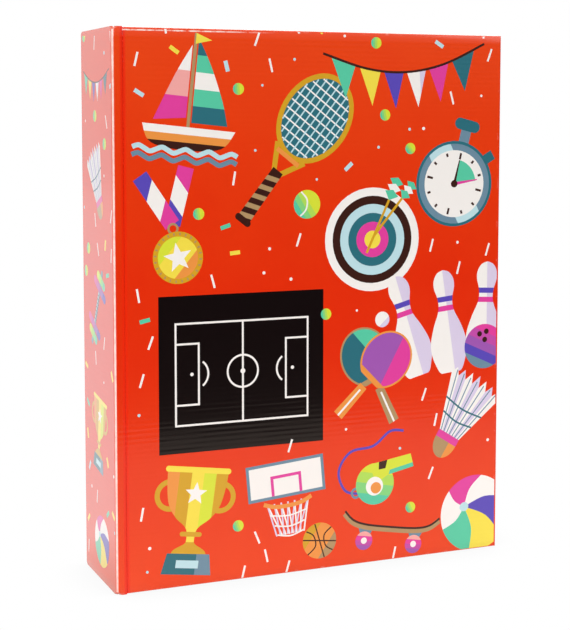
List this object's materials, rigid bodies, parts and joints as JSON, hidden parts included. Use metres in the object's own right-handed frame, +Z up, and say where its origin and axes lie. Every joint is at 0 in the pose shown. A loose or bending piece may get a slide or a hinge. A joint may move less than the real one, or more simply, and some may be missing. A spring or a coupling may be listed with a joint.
{
  "type": "board game box",
  "caption": "Upright book-style board game box of corrugated board: hinged cover with a magnetic closing flap, hollow-walled tray, slotted partition and playing pieces.",
  "frame": {"origin": "centre of the foot of the standing box, on the surface it stands on", "axes": "+Z up along the spine, +X from the spine to the closing flap, +Y from the cover to the back, so the cover faces -Y"},
  "size_m": [0.278, 0.075, 0.36],
  "materials": {
    "printed_board": "gloss-laminated print",
    "white_board": "uncoated white liner",
    "plated_steel": "nickel plated",
    "game_board": "satin print on grey board",
    "hinge_cloth": "woven book cloth",
    "booklet_paper": "satin print",
    "pad_paper": "uncoated",
    "backing_card": "uncoated grey card",
    "violet_paper": "satin",
    "card_stock": "linen varnish",
    "graphite": "burnished",
    "red_lacquer": "gloss lacquer over cedar",
    "yellow_lacquer": "gloss lacquer over cedar",
    "green_lacquer": "gloss lacquer over cedar",
    "red_stain": "satin stain",
    "yellow_stain": "satin stain",
    "green_stain": "satin stain",
    "blue_stain": "satin stain",
    "purple_stain": "satin stain",
    "grey_stain": "satin stain",
    "ivory_dice_plastic": "polished",
    "violet_dice_plastic": "polished",
    "pink_counter_plastic": "moulded",
    "yellow_counter_plastic": "moulded",
    "mint_counter_plastic": "moulded"
  },
  "bodies": {
    "box": {"back_panel": "printed_board", "spine_panel": "printed_board", "hinge_strip": "printed_board", "wall_keepers": "plated_steel", "tray_floor": "white_board", "tray_wall_left": "printed_board", "tray_wall_right": "printed_board", "tray_wall_top": "printed_board", "tray_wall_bottom": "printed_board", "divider_long_left": "white_board", "divider_long_right": "white_board", "divider_cross_lower": "white_board", "divider_cross_upper": "white_board", "board_panel_front": "game_board", "board_panel_back": "game_board", "board_hinge_cloth": "hinge_cloth", "rule_booklet": "booklet_paper", "booklet_staples": "plated_steel", "score_pad_sheets": "pad_paper", "score_pad_backing": "backing_card", "score_pad_binding": "violet_paper", "pencil_leads": "graphite", "card_deck_left": "card_stock", "card_deck_middle": "card_stock", "card_deck_right": "card_stock", "deck_band_left": "violet_paper", "deck_band_middle": "violet_paper", "deck_band_right": "violet_paper", "pencil_red": "red_lacquer", "pencil_yellow": "yellow_lacquer", "pencil_green": "green_lacquer", "pawn_red": "red_stain", "pawn_yellow": "yellow_stain", "pawn_green": "green_stain", "pawn_blue": "blue_stain", "pawn_purple": "purple_stain", "pawn_grey": "grey_stain", "die_ivory_left": "ivory_dice_plastic", "die_ivory_right": "ivory_dice_plastic", "die_violet_left": "violet_dice_plastic", "die_violet_right": "violet_dice_plastic", "counters_pink": "pink_counter_plastic", "counters_yellow": "yellow_counter_plastic", "counters_mint": "mint_counter_plastic"},
    "cover": {"front_cover": "printed_board"},
    "flap": {"closing_flap": "printed_board", "flap_magnets": "plated_steel"}
  },
  "joints": [
    {"name": "cover_hinge", "type": "hinge", "parent": "box", "child": "cover", "pos_m": [-0.132, -0.0375, 0.18], "axis": [0, 0, -1], "range_deg": [0, 170]},
    {"name": "flap_hinge", "type": "hinge", "parent": "cover", "child": "flap", "pos_m": [0.1382, -0.0367, 0.18], "axis": [0, 0, -1], "range_deg": [0, 100]}
  ]
}
